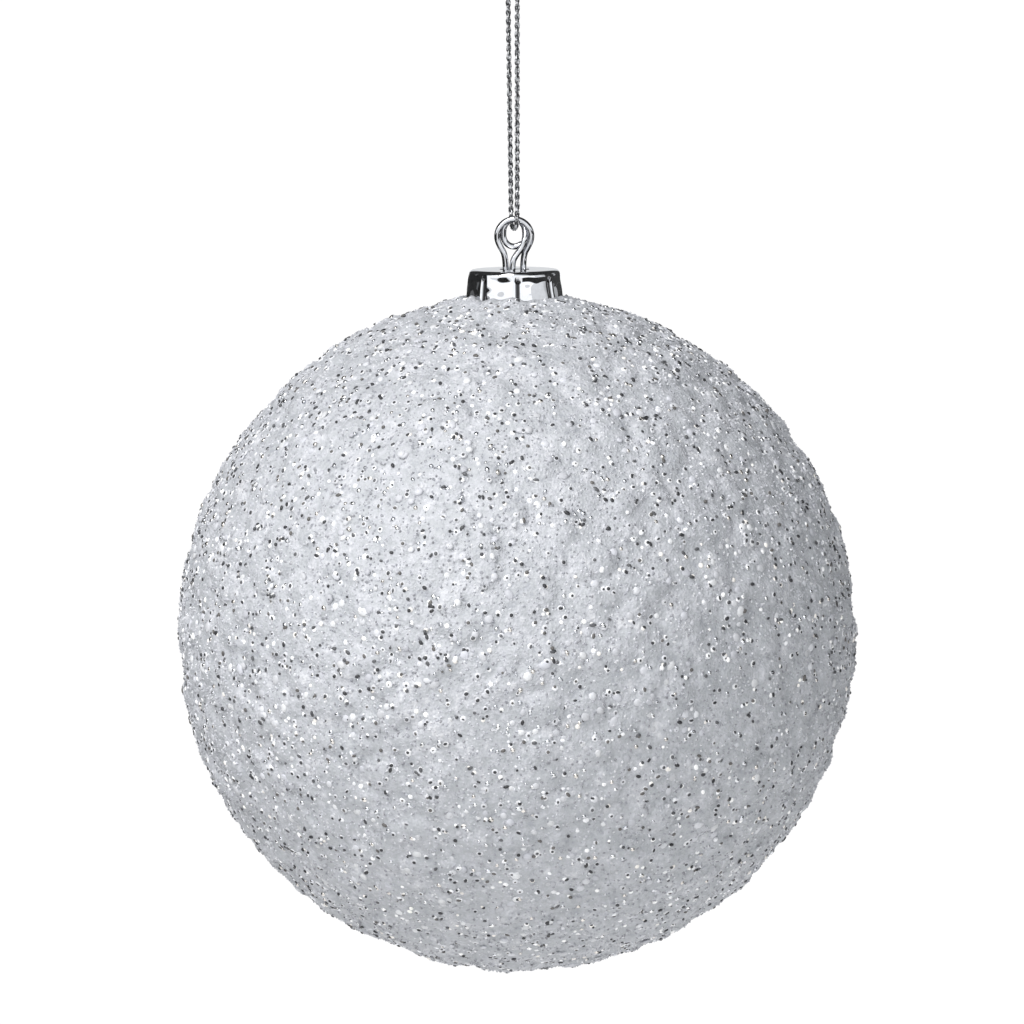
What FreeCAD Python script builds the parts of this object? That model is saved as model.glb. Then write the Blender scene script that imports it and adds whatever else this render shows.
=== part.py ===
import FreeCAD, Part
import math
import os

import Sketcher
from FreeCAD import Placement, Rotation, Vector

# A hanging glass ball with a beaded coat, a fluted metal cap, a wire hanger and a cord loop.
# Millimetres, +Z up, front towards -Y. The origin is the inside of the cord loop's top, where
# a hook's wire carries it, so the whole ornament hangs below it.

DIMENSIONS = {
    # ball, measured from its centre
    "ball_drop": 102.4,  # hook down to the ball's centre
    "ball_radius": 50.0,  # over the beads
    "coat_thickness": 1.1,
    "glass_thickness": 0.9,
    "film_thickness": 0.1,
    "neck_radius": 5.7,
    "bore_radius": 4.9,
    "rim_height": 53.15,
    "coat_mouth_radius": 7.55,
    # cap, measured from its lower edge
    "cap_base_height": 48.75,  # above the ball's centre
    "cap_height": 4.85,
    "cap_base_radius": 7.38,
    "cap_top_radius": 6.62,
    "cap_metal": 0.35,
    "cap_edge_radius": 0.7,
    "crimp_count": 8,
    "crimp_width": 0.55,
    "crimp_depth": 0.2,
    "crimp_start": 4.0,  # degrees round from +X
    "crimp_overrun": 0.5,  # how far the crimp's tool reaches outside the skirt
    "slot_length": 4.3,
    "slot_width": 2.3,
    # wire hanger
    "wire_radius": 0.45,
    "eye_height": 58.5,  # centre of the eye above the ball's centre
    "outer_turn_radius": 2.5,
    "inner_turn_radius": 1.58,
    "turn_spacing": 0.46,  # each turn lies this far in front of or behind the middle plane
    "eye_waist": 2.85,  # where the outer turn runs into its shanks, under the eye's centre
    "shank_spread": 1.28,  # from the axis to each shank
    "shank_end_height": 53.2,
    "tail_spread": 0.34,  # from the axis to the inner wire's tail, between the shanks
    "tail_end_height": 52.6,
    "pivot_height": 52.72,
    "leg_splay": 20.0,
    "leg_run": 21.0,
    "leg_curl_radius": 2.5,
    "leg_curl_angle": 50.0,
    # cord
    "cord_radius": 0.39,
    "bight_radius": 1.41,  # centreline of the cord round the eye's two wires
    "bight_turn": 18.0,  # degrees the bight is turned from square across the eye
    "hook_turn": 38.9,  # the same at the hook
    "knot_base": 1.3,
    "knot_length": 3.0,
    "knot_radius": 1.4,
    "knot_end_radius": 0.95,
    "strand_gap": 0.03,  # half the gap between the two strands inside the knot
    "hook_wire_radius": 0.75,
}
size = DIMENSIONS

doc = FreeCAD.newDocument("ornament")
sheet = doc.addObject("Spreadsheet::Sheet", "dims")
for row, (alias, value) in enumerate(DIMENSIONS.items(), start=1):
    sheet.set(f"A{row}", alias)
    sheet.set(f"B{row}", str(value))
    sheet.setAlias(f"B{row}", alias)
doc.recompute()


def bind(thing, **expressions):
    """Drives properties from the sheet. A double underscore stands for a dot."""
    for name, expression in expressions.items():
        thing.setExpression(name.replace("__", "."), expression)


def primitive(kind, name, **expressions):
    thing = doc.addObject(kind, name)
    bind(thing, **expressions)
    return thing


def boolean(kind, name, base, tool):
    thing = doc.addObject(kind, name)
    thing.Base = base
    thing.Tool = tool
    return thing


def place_at(thing, height):
    """Puts a sub-part at a height above the ball's centre, which is an expression."""
    bind(thing, Placement__Base__z=f"{height} - dims.ball_drop")


def new_body(name):
    body = doc.addObject("PartDesign::Body", name)
    body.Label = name
    return body


def plane_of(body, role):
    return next(f for f in body.Origin.OriginFeatures if f.Role == role)


def new_sketch(body, name, role):
    sketch = body.newObject("Sketcher::SketchObject", name)
    sketch.AttachmentSupport = [(plane_of(body, role), "")]
    sketch.MapMode = "FlatFace"
    return sketch


def outline(sketch, corners):
    """A closed outline. Each corner is (x, y, expression of x, expression of y).

    The numbers are where the corner starts. The expressions are what holds it."""
    last = len(corners) - 1
    for i, corner in enumerate(corners):
        following = corners[0 if i == last else i + 1]
        start, end = Vector(corner[0], corner[1], 0), Vector(following[0], following[1], 0)
        sketch.addGeometry(Part.LineSegment(start, end), False)
    for i in range(len(corners)):
        sketch.addConstraint(Sketcher.Constraint("Coincident", i, 2, 0 if i == last else i + 1, 1))
    for i, (x, y, x_rule, y_rule) in enumerate(corners):
        for kind, value, rule, axis in (("DistanceX", x, x_rule, -2), ("DistanceY", y, y_rule, -1)):
            if rule is None:
                sketch.addConstraint(Sketcher.Constraint("PointOnObject", i, 1, axis))
            else:
                at = sketch.addConstraint(Sketcher.Constraint(kind, -1, 1, i, 1, value))
                sketch.setExpression(f"Constraints[{at}]", rule)


def circle(sketch, radius, rule):
    sketch.addGeometry(Part.Circle(Vector(0, 0, 0), Vector(0, 0, 1), radius), False)
    sketch.addConstraint(Sketcher.Constraint("Coincident", 0, 3, -1, 1))
    at = sketch.addConstraint(Sketcher.Constraint("Radius", 0, radius))
    sketch.setExpression(f"Constraints[{at}]", rule)


def revolved(body, name, sketch):
    turn = body.newObject("PartDesign::Revolution", name)
    turn.Profile = sketch
    turn.ReferenceAxis = (sketch, ["V_Axis"])
    turn.Angle = 360.0
    return turn


def rounded_path(corners, share=0.45, note=None):
    """Straight runs joined by tangent arcs, each as large as its two runs allow."""
    edges, radii = [], []
    at = corners[0]
    for before, corner, after in zip(corners, corners[1:], corners[2:]):
        into, out = corner - before, after - corner
        turn = into.getAngle(out)
        reach = share * min(into.Length, out.Length)
        radius = reach / math.tan(turn / 2)
        into.normalize()
        out.normalize()
        inward = (out - into).normalize()
        start, end = corner - into * reach, corner + out * reach
        middle = corner + inward * (radius / math.cos(turn / 2) - radius)
        edges.append(Part.LineSegment(at, start).toShape())
        edges.append(Part.Arc(start, middle, end).toShape())
        radii.append(radius)
        at = end
    edges.append(Part.LineSegment(at, corners[-1]).toShape())
    if note:
        print(note, "arc radii", [round(r, 2) for r in radii])
    return Part.Wire(edges)


def tube(path, radius, note):
    """A round rod along a path, checked against its section times its length."""
    first = path.Edges[0]
    start = first.Vertexes[0].Point
    along = first.tangentAt(first.FirstParameter)
    section = Part.Wire(Part.Circle(start, along, radius).toShape())
    solid = path.makePipeShell([section], True, False)
    expected = math.pi * radius**2 * path.Length
    print(f"{note} length {path.Length:.2f}, volume {solid.Volume:.2f}, expected {expected:.2f}")
    if abs(solid.Volume - expected) > 0.02 * expected:
        raise ValueError(f"{note} didn't sweep cleanly")
    return solid


def feature(name, shape, height=None):
    thing = doc.addObject("Part::Feature", name)
    thing.Shape = shape
    if height is not None:
        thing.Placement = Placement(Vector(0, 0, height), Rotation())
    return thing


def polar(radius, degrees, depth):
    """A point of the eye: seen from the front, with its depth behind the middle plane."""
    angle = math.radians(degrees)
    return Vector(radius * math.cos(angle), depth, radius * math.sin(angle))


# ---- ball: blown glass with a neck, silvered inside and beaded outside


def make_glass_ball():
    outer = primitive("Part::Sphere", "glass_outside", Radius="dims.ball_radius - dims.coat_thickness")
    inner = primitive(
        "Part::Sphere",
        "glass_inside",
        Radius="dims.ball_radius - dims.coat_thickness - dims.glass_thickness",
    )
    neck = primitive("Part::Cylinder", "neck_outside", Radius="dims.neck_radius", Height="dims.rim_height")
    bore = primitive(
        "Part::Cylinder", "neck_bore", Radius="dims.bore_radius", Height="dims.rim_height + 1"
    )
    blank = boolean("Part::Fuse", "glass_blank", outer, neck)
    hollow = boolean("Part::Fuse", "glass_hollow", inner, bore)
    ball = boolean("Part::Cut", "glass_ball", blank, hollow)
    place_at(ball, "0")
    return ball


def make_silvering():
    inside = "dims.ball_radius - dims.coat_thickness - dims.glass_thickness"
    outer = primitive("Part::Sphere", "film_outside", Radius=inside)
    inner = primitive("Part::Sphere", "film_inside", Radius=f"{inside} - dims.film_thickness")
    mouth = primitive(
        "Part::Cylinder", "film_mouth", Radius="dims.bore_radius", Height="dims.rim_height"
    )
    shell = boolean("Part::Cut", "film_shell", outer, inner)
    film = boolean("Part::Cut", "silvering", shell, mouth)
    place_at(film, "0")
    return film


def make_bead_coat():
    outer = primitive("Part::Sphere", "coat_outside", Radius="dims.ball_radius")
    inner = primitive("Part::Sphere", "coat_inside", Radius="dims.ball_radius - dims.coat_thickness")
    mouth = primitive(
        "Part::Cylinder", "coat_mouth", Radius="dims.coat_mouth_radius", Height="dims.rim_height"
    )
    shell = boolean("Part::Cut", "coat_shell", outer, inner)
    coat = boolean("Part::Cut", "bead_coat", shell, mouth)
    place_at(coat, "0")
    return coat


# ---- cap: pressed metal, with crimps round its skirt and a slot for the wire


def make_cap():
    body = new_body("cap")
    base, top, metal, tall = (
        size["cap_base_radius"],
        size["cap_top_radius"],
        size["cap_metal"],
        size["cap_height"],
    )
    skirt = new_sketch(body, "cap_profile", "XZ_Plane")
    outline(
        skirt,
        [
            (base, 0, "dims.cap_base_radius", None),
            (top, tall, "dims.cap_top_radius", "dims.cap_height"),
            (0, tall, None, "dims.cap_height"),
            (0, tall - metal, None, "dims.cap_height - dims.cap_metal"),
            (
                top - metal,
                tall - metal,
                "dims.cap_top_radius - dims.cap_metal",
                "dims.cap_height - dims.cap_metal",
            ),
            (base - metal, 0, "dims.cap_base_radius - dims.cap_metal", None),
        ],
    )
    revolved(body, "cap_shell", skirt)
    doc.recompute()

    edge = body.newObject("PartDesign::Fillet", "cap_edge")
    shell = body.getObject("cap_shell")
    rim = [
        f"Edge{i}"
        for i, e in enumerate(shell.Shape.Edges, start=1)
        if abs(e.BoundBox.ZMin - tall) < 0.01 and abs(e.BoundBox.XMax - top) < 0.01
    ]
    edge.Base = (shell, rim)
    bind(edge, Radius="dims.cap_edge_radius")
    doc.recompute()
    whole = edge.Shape.Volume

    slot = new_sketch(body, "slot_outline", "XY_Plane")
    long, wide = size["slot_length"] / 2, size["slot_width"] / 2
    sides = (
        (long, "dims.slot_length / 2", wide, "dims.slot_width / 2"),
        (-long, "-dims.slot_length / 2", -wide, "-dims.slot_width / 2"),
    )
    right, left = sides
    outline(
        slot,
        [
            (right[0], right[2], right[1], right[3]),
            (left[0], right[2], left[1], right[3]),
            (left[0], left[2], left[1], left[3]),
            (right[0], left[2], right[1], left[3]),
        ],
    )
    cut = body.newObject("PartDesign::Pocket", "wire_slot")
    cut.Profile = slot
    cut.Type = "ThroughAll"
    cut.Reversed = True
    doc.recompute()
    if cut.Shape.Volume >= whole - 1:
        raise ValueError("the wire slot cut nothing")

    crimp = new_sketch(body, "crimp_section", "XZ_Plane")
    crimp.AttachmentOffset = Placement(Vector(0, 0, 0), Rotation(Vector(0, 1, 0), size["crimp_start"]))
    deep, proud, under = size["crimp_depth"], size["crimp_overrun"], -0.01
    outline(
        crimp,
        [
            (base - deep, under, "dims.cap_base_radius - dims.crimp_depth", str(under)),
            (base + proud, under, "dims.cap_base_radius + dims.crimp_overrun", str(under)),
            (top + proud, tall, "dims.cap_top_radius + dims.crimp_overrun", "dims.cap_height"),
            (top - deep, tall, "dims.cap_top_radius - dims.crimp_depth", "dims.cap_height"),
        ],
    )
    groove = body.newObject("PartDesign::Pocket", "crimp")
    groove.Profile = crimp
    groove.Midplane = True
    bind(groove, Length="dims.crimp_width")
    doc.recompute()
    pattern = body.newObject("PartDesign::PolarPattern", "crimps")
    pattern.Originals = [groove]
    pattern.Axis = (skirt, ["V_Axis"])
    pattern.Angle = 360.0
    bind(pattern, Occurrences="dims.crimp_count")
    body.Tip = pattern
    doc.recompute()
    if pattern.Shape.Volume >= groove.Shape.Volume - 1:
        raise ValueError("the crimps cut nothing")
    place_at(body, "dims.cap_base_height")
    return body


# ---- wire hanger: an eye of two nested wires, and the two spring legs inside the ball


def arc_step(degrees):
    """How much further out than an arc the corners lie that share it out in such steps."""
    return 1 / math.cos(math.radians(degrees / 2))


def make_wire_eye():
    """The outer wire: up the left shank, round over the top and down the right one.

    It starts in front. From a little above its right side on it leans back."""
    spread, near, far = size["shank_spread"], -size["turn_spacing"], size["turn_spacing"]
    end, waist = size["shank_end_height"] - size["eye_height"], -size["eye_waist"]
    first, last, step = 215, -35, 25
    lean_start, lean_length = 15, 90
    radius = size["outer_turn_radius"] * arc_step(step)
    corners = [Vector(-spread, near, end), Vector(-spread, near, waist)]
    for angle in range(first, last - 1, -step):
        lean = max(0, lean_start - angle) / lean_length
        corners.append(polar(radius, angle, near + (far - near) * lean))
    corners += [Vector(spread, far, waist), Vector(spread, far, end)]
    solid = tube(rounded_path(corners, 0.48, "wire_eye"), size["wire_radius"], "wire_eye")
    return feature("wire_eye", solid, size["eye_height"] - size["ball_drop"])


def make_inner_wire():
    """The inner wire: its tail slants up in front, then its turn goes round behind, over the
    right side, and closes behind the tail. Over the top it is as high as the outer wire."""
    near, far = -size["turn_spacing"], size["turn_spacing"]
    outer, inner = size["outer_turn_radius"], size["inner_turn_radius"]
    tail, end = -size["tail_spread"], size["tail_end_height"] - size["eye_height"]
    first, last, step, cross_length = -15, 315, 30, 60
    corners = [
        Vector(tail, near, end),
        Vector(tail, near, -3.9),
        Vector(0.2, near, -2.85),
        Vector(1.2, near, -1.6),
    ]
    for angle in range(first, last + 1, step):
        lift = max(0.0, math.sin(math.radians(angle))) ** 2
        back = min(1.0, (angle - first) / cross_length)
        radius = (inner + (outer - inner) * lift) * arc_step(step)
        corners.append(polar(radius, angle, near + (far - near) * back))
    solid = tube(rounded_path(corners, 0.48, "eye_inner_wire"), size["wire_radius"], "eye_inner_wire")
    return feature("eye_inner_wire", solid, size["eye_height"] - size["ball_drop"])


def make_spring_leg(name, side):
    """side is -1 for the left leg, whose shank is in front, and 1 for the right."""
    body = new_body(name)
    ball = body.newObject("PartDesign::AdditiveSphere", f"{name}_bend")
    bind(ball, Radius="dims.wire_radius")
    section = new_sketch(body, f"{name}_section", "XY_Plane")
    circle(section, size["wire_radius"], "dims.wire_radius")
    path = new_sketch(body, f"{name}_path", "XZ_Plane")
    run, bend = size["leg_run"], size["leg_curl_radius"]
    sweep = math.radians(size["leg_curl_angle"])
    path.addGeometry(Part.LineSegment(Vector(0, 0, 0), Vector(0, -run, 0)), False)
    centre = Vector(-side * bend, -run, 0)
    ring = Part.Circle(centre, Vector(0, 0, 1), bend)
    arc = (-sweep, 0) if side > 0 else (math.pi, math.pi + sweep)
    path.addGeometry(Part.ArcOfCircle(ring, *arc), False)
    joined = 2 if side > 0 else 1
    path.addConstraint(Sketcher.Constraint("Coincident", 0, 1, -1, 1))
    path.addConstraint(Sketcher.Constraint("Vertical", 0))
    path.addConstraint(Sketcher.Constraint("Tangent", 0, 2, 1, joined))
    at = path.addConstraint(Sketcher.Constraint("Distance", 0, run))
    path.setExpression(f"Constraints[{at}]", "dims.leg_run")
    at = path.addConstraint(Sketcher.Constraint("Radius", 1, bend))
    path.setExpression(f"Constraints[{at}]", "dims.leg_curl_radius")
    at = path.addConstraint(Sketcher.Constraint("Angle", 1, sweep))
    path.setExpression(f"Constraints[{at}]", "dims.leg_curl_angle * 1 deg")
    doc.recompute()
    pipe = body.newObject("PartDesign::AdditivePipe", f"{name}_wire")
    pipe.Profile = section
    pipe.Spine = (path, ["Edge1", "Edge2"])
    body.Tip = pipe
    splay = Rotation(Vector(0, 1, 0), -side * size["leg_splay"])
    body.Placement = Placement(Vector(side * size["shank_spread"], side * size["turn_spacing"], 0), splay)
    place_at(body, "dims.pivot_height")
    return body


# ---- cord: a thread loop from the knot round the eye and back, its knot and its two ends


def across(degrees, radius, height):
    """A point at a radius, towards the front right if the radius is positive."""
    angle = math.radians(degrees)
    return Vector(radius * math.sin(angle), -radius * math.cos(angle), height)


def cord_route():
    """The front strand from the knot down, the bight round the eye, and the back strand up."""
    hook, bight = size["hook_turn"], size["bight_turn"]
    pivot = size["eye_height"] + size["outer_turn_radius"] - size["ball_drop"]
    eighth = math.radians(45)
    long, short = size["bight_radius"], size["bight_radius"] * math.tan(eighth / 2)
    together = size["cord_radius"] + size["strand_gap"]
    apart = size["cord_radius"] + size["hook_wire_radius"] + 0.02
    down = [
        across(hook, together, size["knot_base"]),
        across(hook, together, 0.6 * size["knot_base"]),
        across(hook, apart, -0.4 * size["hook_wire_radius"]),
        across(bight, long, pivot - short),
        across(bight, short, pivot - long),
    ]
    return down + [Vector(-p.x, -p.y, p.z) for p in reversed(down)]


def make_cord_loop():
    path = rounded_path(cord_route(), 0.45, "cord_loop")
    return feature("cord_loop", tube(path, size["cord_radius"], "cord_loop"))


def make_cord_knot():
    body = new_body("cord_knot")
    half, thin, thick = size["knot_length"] / 2, size["knot_end_radius"], size["knot_radius"]
    profile = new_sketch(body, "knot_profile", "XZ_Plane")
    outline(
        profile,
        [
            (0, -half, None, "-dims.knot_length / 2"),
            (thin, -half, "dims.knot_end_radius", "-dims.knot_length / 2"),
            (thick, -half / 3, "dims.knot_radius", "-dims.knot_length / 6"),
            (thick, half / 3, "dims.knot_radius", "dims.knot_length / 6"),
            (thin, half, "dims.knot_end_radius", "dims.knot_length / 2"),
            (0, half, None, "dims.knot_length / 2"),
        ],
    )
    revolved(body, "knot_barrel", profile)
    bind(body, Placement__Base__z="dims.knot_base + dims.knot_length / 2")
    return body


def make_cord_tails():
    """Two ends that leave the knot side by side, then bend apart."""
    top = size["knot_base"] + size["knot_length"]
    together = size["cord_radius"] + 0.04
    ends = []
    for side, length in ((1, 5.1), (-1, 4.1)):
        corners = [
            across(60, together * side, top),
            across(60, together * side, top + 1.2),
            across(75, 1.0 * side, top + 3.0),
            across(95, 1.9 * side, top + length),
        ]
        ends.append(tube(rounded_path(corners, 0.45, "cord_tails"), size["cord_radius"], "cord_tails"))
    return feature("cord_tails", Part.makeCompound(ends))


subparts = [
    make_glass_ball(),
    make_silvering(),
    make_bead_coat(),
    make_cap(),
    make_wire_eye(),
    make_inner_wire(),
    make_spring_leg("spring_leg_left", -1),
    make_spring_leg("spring_leg_right", 1),
    make_cord_loop(),
    make_cord_knot(),
    make_cord_tails(),
]
doc.recompute()

for thing in doc.Objects:
    if "Invalid" in thing.State or "Error" in thing.State:
        raise ValueError(f"{thing.Label} failed: {thing.State}")

os.makedirs("parts", exist_ok=True)
for part in subparts:
    shape = part.Shape
    if shape.isNull() or not shape.isValid():
        raise ValueError(f"{part.Label} has no valid shape")
    box = shape.BoundBox
    print(
        f"{part.Label}: {len(shape.Solids)} solid, {shape.Volume:.1f} mm3,"
        f" x {box.XMin:.2f} {box.XMax:.2f}, y {box.YMin:.2f} {box.YMax:.2f}, z {box.ZMin:.2f} {box.ZMax:.2f}"
    )
    shape.exportStep(f"parts/{part.Label}.step")
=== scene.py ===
import bpy
import bmesh
import math
import numpy as np
from mathutils import Matrix, Vector, noise
from mathutils.kdtree import KDTree


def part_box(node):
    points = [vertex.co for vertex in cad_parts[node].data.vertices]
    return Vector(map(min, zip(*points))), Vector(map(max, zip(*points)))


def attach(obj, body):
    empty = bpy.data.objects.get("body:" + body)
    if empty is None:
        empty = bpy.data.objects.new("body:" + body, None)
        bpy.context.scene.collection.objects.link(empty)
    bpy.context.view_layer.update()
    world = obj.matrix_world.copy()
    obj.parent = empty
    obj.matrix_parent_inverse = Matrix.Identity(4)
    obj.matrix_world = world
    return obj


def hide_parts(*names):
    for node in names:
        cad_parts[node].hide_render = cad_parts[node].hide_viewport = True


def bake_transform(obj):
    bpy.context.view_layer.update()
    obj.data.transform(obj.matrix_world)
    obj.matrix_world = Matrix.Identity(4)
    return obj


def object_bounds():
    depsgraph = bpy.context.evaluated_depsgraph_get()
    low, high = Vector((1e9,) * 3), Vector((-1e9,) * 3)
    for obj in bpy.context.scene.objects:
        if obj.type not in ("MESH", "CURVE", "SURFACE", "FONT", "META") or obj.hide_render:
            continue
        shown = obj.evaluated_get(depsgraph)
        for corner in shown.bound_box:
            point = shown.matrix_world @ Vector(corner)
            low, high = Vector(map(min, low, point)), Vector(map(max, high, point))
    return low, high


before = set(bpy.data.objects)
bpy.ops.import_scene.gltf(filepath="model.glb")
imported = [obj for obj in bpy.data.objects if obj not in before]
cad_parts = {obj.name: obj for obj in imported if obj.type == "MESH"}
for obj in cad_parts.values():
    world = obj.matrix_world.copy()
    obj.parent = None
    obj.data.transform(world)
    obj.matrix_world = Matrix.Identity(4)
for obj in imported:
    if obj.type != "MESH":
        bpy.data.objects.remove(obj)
cad_low, cad_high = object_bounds()

MM = 0.001
scene = bpy.context.scene
scene.view_settings.view_transform = "Standard"

coat_low, coat_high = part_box("bead_coat")
BALL_RADIUS = (coat_high.x - coat_low.x) / 2
BALL = Vector((0, 0, coat_low.z + BALL_RADIUS))
CAP_LOW, CAP_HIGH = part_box("cap")


# ---------------------------------------------------------------- camera

def make_camera():
    """A long lens a little above the cap, tilted slightly so that the cord leans as it hangs."""
    distance = 1.5
    elevation = math.radians(5.2)
    roll = math.radians(-0.38)
    width_in_view = 0.15104
    up_shift, right_shift = 0.0177, -0.0006
    back = Vector((0, -math.cos(elevation), math.sin(elevation)))
    up = Vector((0, math.sin(elevation), math.cos(elevation)))
    aim = BALL + up * up_shift + Vector((right_shift, 0, 0))
    data = bpy.data.cameras.new("camera")
    data.sensor_width = 36.0
    data.lens = data.sensor_width * distance / width_in_view
    data.clip_start, data.clip_end = 0.05, 100.0
    camera = bpy.data.objects.new("camera", data)
    scene.collection.objects.link(camera)
    turn = (-back).to_track_quat("-Z", "Y").to_matrix() @ Matrix.Rotation(roll, 3, "Z")
    camera.matrix_world = Matrix.Translation(aim + back * distance) @ turn.to_4x4()
    scene.camera = camera


make_camera()


# ---------------------------------------------------------------- node helpers

def new_material(name):
    """A new material with its node tree and its shader."""
    material = bpy.data.materials.new(name)
    material.use_nodes = True
    tree = material.node_tree
    shader = tree.nodes["Principled BSDF"]
    return material, tree, shader


def feed(tree, socket, value):
    """Links an input to another node's output, or sets it to a value."""
    if isinstance(value, bpy.types.NodeSocket):
        tree.links.new(value, socket)
    else:
        socket.default_value = value


def node(tree, kind, settings=None, **inputs):
    """A node with its settings, and with inputs that are linked or set; _ stands for a space."""
    made = tree.nodes.new(kind)
    for key, value in (settings or {}).items():
        setattr(made, key, value)
    for key, value in inputs.items():
        feed(tree, made.inputs[key.replace("_", " ")], value)
    return made


def math_node(tree, operation, first, second):
    """The result of a sum or another operation on two numbers or outputs."""
    made = node(tree, "ShaderNodeMath", {"operation": operation})
    for socket, value in zip(made.inputs, (first, second)):
        feed(tree, socket, value)
    return made.outputs[0]


def ramp(tree, value, stops):
    """A colour ramp whose stops are (position, grey or colour)."""
    made = tree.nodes.new("ShaderNodeValToRGB")
    elements = made.color_ramp.elements
    while len(elements) < len(stops):
        elements.new(0.5)
    for element, (position, colour) in zip(elements, stops):
        element.position = position
        if not hasattr(colour, "__len__"):
            colour = (colour, colour, colour)
        element.color = (*colour, 1)
    tree.links.new(value, made.inputs[0])
    return made.outputs[0]


def object_position(tree):
    """Where a place is in its object's own space, so that a texture stays on the object."""
    return node(tree, "ShaderNodeTexCoord").outputs["Object"]


def noise_texture(tree, position, size, detail, roughness=0.55):
    """Soft noise whose features are about size metres across."""
    made = node(tree, "ShaderNodeTexNoise", Vector=position, Scale=1 / size,
                Detail=detail, Roughness=roughness)
    return made.outputs["Fac"]


def grains_texture(tree, position, size):
    """How far each place is from the middle of its grain, for grains about size metres across."""
    return node(tree, "ShaderNodeTexVoronoi", Vector=position, Scale=1 / size).outputs["Distance"]


def bump(tree, height, distance, strength, normal=None):
    """A surface normal that follows a height, on top of an earlier normal if there is one."""
    made = node(tree, "ShaderNodeBump", Height=height, Distance=distance, Strength=strength)
    if normal is not None:
        tree.links.new(normal, made.inputs["Normal"])
    return made.outputs["Normal"]


# ---------------------------------------------------------------- mesh helpers

def add_object(name, mesh, material, smooth=True):
    """Puts a mesh in the scene as an object of one material."""
    thing = bpy.data.objects.new(name, mesh)
    scene.collection.objects.link(thing)
    mesh.materials.append(material)
    if smooth:
        mesh.shade_smooth()
    return thing


def mesh_of(name, points, faces):
    """A mesh from points and from faces that number them."""
    mesh = bpy.data.meshes.new(name)
    mesh.from_pydata([tuple(p) for p in points], [], [tuple(f) for f in faces])
    mesh.update()
    return mesh


# ---------------------------------------------------------------- the cord


def across(degrees, radius, height):
    """A point at a radius from the cord's axis, in millimetres; 0 degrees is the front."""
    angle = math.radians(degrees)
    return Vector((radius * math.sin(angle), -radius * math.cos(angle), height)) * MM


def opposite(point):
    """The same point, half a turn round the cord's axis."""
    return Vector((-point.x, -point.y, point.z))


front_run = [
    across(38.9, 0.42, 1.3),
    across(38.9, 0.42, 0.78),
    across(38.9, 1.16, -0.3),
    across(36.2, 1.18, -5.0),
    across(19.9, 1.374, -37.3),
    across(18.0, 1.41, -41.984),
    across(18.0, 0.584, -42.81),
]
cord_route = front_run + [opposite(p) for p in reversed(front_run)]


def spline_points(route):
    """Points read from a smooth spline that has the route as its control points."""
    curve = bpy.data.curves.new("route", "CURVE")
    curve.dimensions = "3D"
    spline = curve.splines.new("NURBS")
    spline.points.add(len(route) - 1)
    for point, place in zip(spline.points, route):
        point.co = (*place, 1)
    spline.order_u = 3
    spline.use_endpoint_u = True
    curve.resolution_u = 48
    holder = bpy.data.objects.new("route", curve)
    line = bpy.data.meshes.new_from_object(holder)
    points = np.array([v.co for v in line.vertices], float)
    bpy.data.objects.remove(holder)
    bpy.data.curves.remove(curve)
    bpy.data.meshes.remove(line)
    return points


def even_steps(points, step):
    """The same line with its points evenly spaced, and how far along it each one lies."""
    lengths = np.r_[0, np.cumsum(np.linalg.norm(np.diff(points, axis=0), axis=1))]
    wanted = np.linspace(0, lengths[-1], max(2, int(round(lengths[-1] / step))) + 1)
    return np.stack([np.interp(wanted, lengths, points[:, k]) for k in range(3)], 1), wanted


def carried_frames(points):
    """Two directions across the line at each point, carried along it without twist."""
    tangents = np.gradient(points, axis=0)
    tangents /= np.linalg.norm(tangents, axis=1)[:, None]
    side = np.cross(tangents[0], (0.3, 0.9, 0.2))
    sides = []
    for tangent in tangents:
        side = side - tangent * (side @ tangent)
        side = side / np.linalg.norm(side)
        sides.append(side)
    sides = np.array(sides)
    return sides, np.cross(tangents, sides)


def helix(points, along, radius, pitch, phase):
    """A line wound round another."""
    sides, ups = carried_frames(points)
    angle = 2 * math.pi * along / pitch + phase
    return points + sides * (np.cos(angle) * radius)[:, None] + ups * (np.sin(angle) * radius)[:, None]


def tube_rings(points, radius, around):
    """Rings of points round a line, square to it."""
    sides, ups = carried_frames(points)
    angles = (np.arange(around) * 2 * math.pi / around)[None, :, None]
    ring = np.cos(angles) * sides[:, None, :] + np.sin(angles) * ups[:, None, :]
    return points[:, None, :] + ring * radius


def tube_faces(count, around, first):
    """The faces of a closed tube of count rings, whose points are numbered from first."""
    faces = []
    for i in range(count - 1):
        for k in range(around):
            a, b = first + i * around + k, first + i * around + (k + 1) % around
            faces.append((a, b, b + around, a + around))
    faces.append(tuple(first + k for k in reversed(range(around))))
    faces.append(tuple(first + (count - 1) * around + k for k in range(around)))
    return faces


PLIES, STRANDS, STRAND_SIDES = 2, 3, 6
PLY_PITCH, STRAND_PITCH = 2.64 * MM, 1.32 * MM
PLY_REACH, STRAND_REACH, STRAND_RADIUS = 0.17 * MM, 0.115 * MM, 0.115 * MM
STRAND_STEP = 0.085 * MM


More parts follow.
